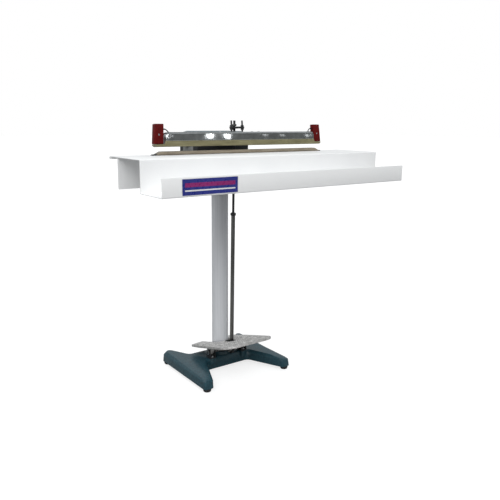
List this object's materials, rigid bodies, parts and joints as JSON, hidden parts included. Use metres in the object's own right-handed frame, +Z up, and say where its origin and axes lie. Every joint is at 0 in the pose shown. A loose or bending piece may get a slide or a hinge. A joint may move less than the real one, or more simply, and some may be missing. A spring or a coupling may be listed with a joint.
{
  "type": "impulse heat sealer",
  "caption": "Floor-standing foot-operated impulse heat sealer: cast base, column, pedal and pull rod that close a hinged upper jaw on a fixed lower jaw above a folded work table.",
  "frame": {"origin": "on the floor, at the centre of the overall box; the column stands 154.5 mm behind it", "axes": "+X along the jaws and the table, to the operator's right; +Y away from the operator; +Z up"},
  "size_m": [0.922, 0.561, 0.9052],
  "materials": {
    "hammertone_paint": "hammertone enamel, dark blue-green, slightly mottled",
    "foot_rubber": "matt black moulded rubber",
    "column_paint": "satin silver-grey paint",
    "bright_steel": "drawn steel, lightly burnished",
    "black_steel": "black-oxide steel",
    "cast_aluminium": "sand-cast, pebbled surface",
    "jaw_aluminium": "mill-finish extrusion",
    "jaw_chrome": "bright polished plate",
    "black_paint": "semi-gloss black powder coat",
    "panel_grey": "fine-textured light grey",
    "white_paint": "smooth white powder coat",
    "ptfe_cloth": "tan glass-fibre cloth coated with PTFE",
    "red_plastic": "glossy dark red moulding",
    "black_plastic": "fine-grained black moulding",
    "lamp_lens": "translucent amber-red lens",
    "copper_winding": "enamelled copper wire",
    "core_steel": "varnished laminations",
    "circuit_board": "green solder mask",
    "nichrome": "flat resistance ribbon",
    "label_film": "printed film, blue with plain stripes"
  },
  "bodies": {
    "frame": {"base_casting": "hammertone_paint", "foot_front_left": "foot_rubber", "foot_front_right": "foot_rubber", "foot_rear_left": "foot_rubber", "foot_rear_right": "foot_rubber", "column_tube": "column_paint", "column_set_screw": "black_steel", "pedal_bracket_left": "black_paint", "pedal_bracket_right": "black_paint", "pedal_shaft": "bright_steel", "head_collar": "black_paint", "head_plate": "black_paint", "jaw_support_left": "black_paint", "jaw_support_right": "black_paint", "pivot_plate_left": "bright_steel", "pivot_plate_right": "bright_steel", "arm_shaft": "bright_steel", "return_spring_left": "bright_steel", "return_spring_right": "bright_steel", "housing_left": "black_paint", "housing_right": "black_paint", "housing_front": "black_paint", "housing_rear": "black_paint", "top_cover": "hammertone_paint", "control_panel": "panel_grey", "pilot_lamp": "lamp_lens", "power_inlet": "black_plastic", "fuse_holder": "black_plastic", "transformer_core": "core_steel", "transformer_coil": "copper_winding", "timer_board": "circuit_board", "microswitch": "black_plastic", "lower_jaw_bar": "jaw_aluminium", "lower_element": "nichrome", "lower_ptfe_cover": "ptfe_cloth", "lower_terminal_left": "black_plastic", "lower_terminal_right": "black_plastic", "work_table": "white_paint"},
    "pedal": {"pedal_plate": "cast_aluminium", "rod_pin": "bright_steel"},
    "pull_rod": {"rod_eye": "black_steel", "pull_rod_tube": "bright_steel", "rod_lock_nut": "black_steel", "pull_rod_upper": "bright_steel", "rod_top_nut": "bright_steel"},
    "jaw_arm": {"jaw_arm": "cast_aluminium", "upper_jaw_bar": "jaw_aluminium", "upper_element": "nichrome", "upper_ptfe_cover": "ptfe_cloth", "jaw_cover": "jaw_chrome", "end_cap_left": "red_plastic", "end_cap_right": "red_plastic", "jaw_lead_left": "black_plastic", "jaw_lead_right": "black_plastic", "yoke_stud_left": "black_steel", "yoke_stud_right": "black_steel", "yoke": "black_steel"},
    "timer_knob": {"timer_knob": "black_plastic"},
    "cooling_knob": {"cooling_knob": "black_plastic"},
    "power_switch": {"power_switch": "black_plastic"}
  },
  "joints": [
    {"name": "pedal_hinge", "type": "hinge", "parent": "frame", "child": "pedal", "pos_m": [0, 0.1105, 0.077], "axis": [1, 0, 0], "range_deg": [0, 16.9]},
    {"name": "rod_slide", "type": "slide", "parent": "frame", "child": "pull_rod", "axis": [0, 0.0166, -0.9999], "range_m": [0, 0.0094]},
    {"name": "jaw_hinge", "type": "hinge", "parent": "frame", "child": "jaw_arm", "pos_m": [0, 0.1995, 0.85], "axis": [1, 0, 0], "range_deg": [0, 3.98], "stiffness_Nm_per_rad": 20, "springref_deg": -40.11, "deforming": ["return_spring_left", "return_spring_right"]},
    {"name": "timer_knob_turn", "type": "hinge", "parent": "frame", "child": "timer_knob", "pos_m": [-0.106, 0.191, 0.826], "axis": [-1, 0, 0], "range_deg": [0, 270]},
    {"name": "cooling_knob_turn", "type": "hinge", "parent": "frame", "child": "cooling_knob", "pos_m": [-0.106, 0.191, 0.788], "axis": [-1, 0, 0], "range_deg": [0, 270]},
    {"name": "power_switch_rock", "type": "hinge", "parent": "frame", "child": "power_switch", "pos_m": [-0.104, 0.1775, 0.761], "axis": [0, 1, 0], "range_deg": [0, 16]}
  ],
  "couplings": [
    {"joint": "rod_slide", "follows": "pedal_hinge", "m_per_rad": 0.0318},
    {"joint": "jaw_hinge", "follows": "pedal_hinge", "ratio": 0.2355}
  ]
}
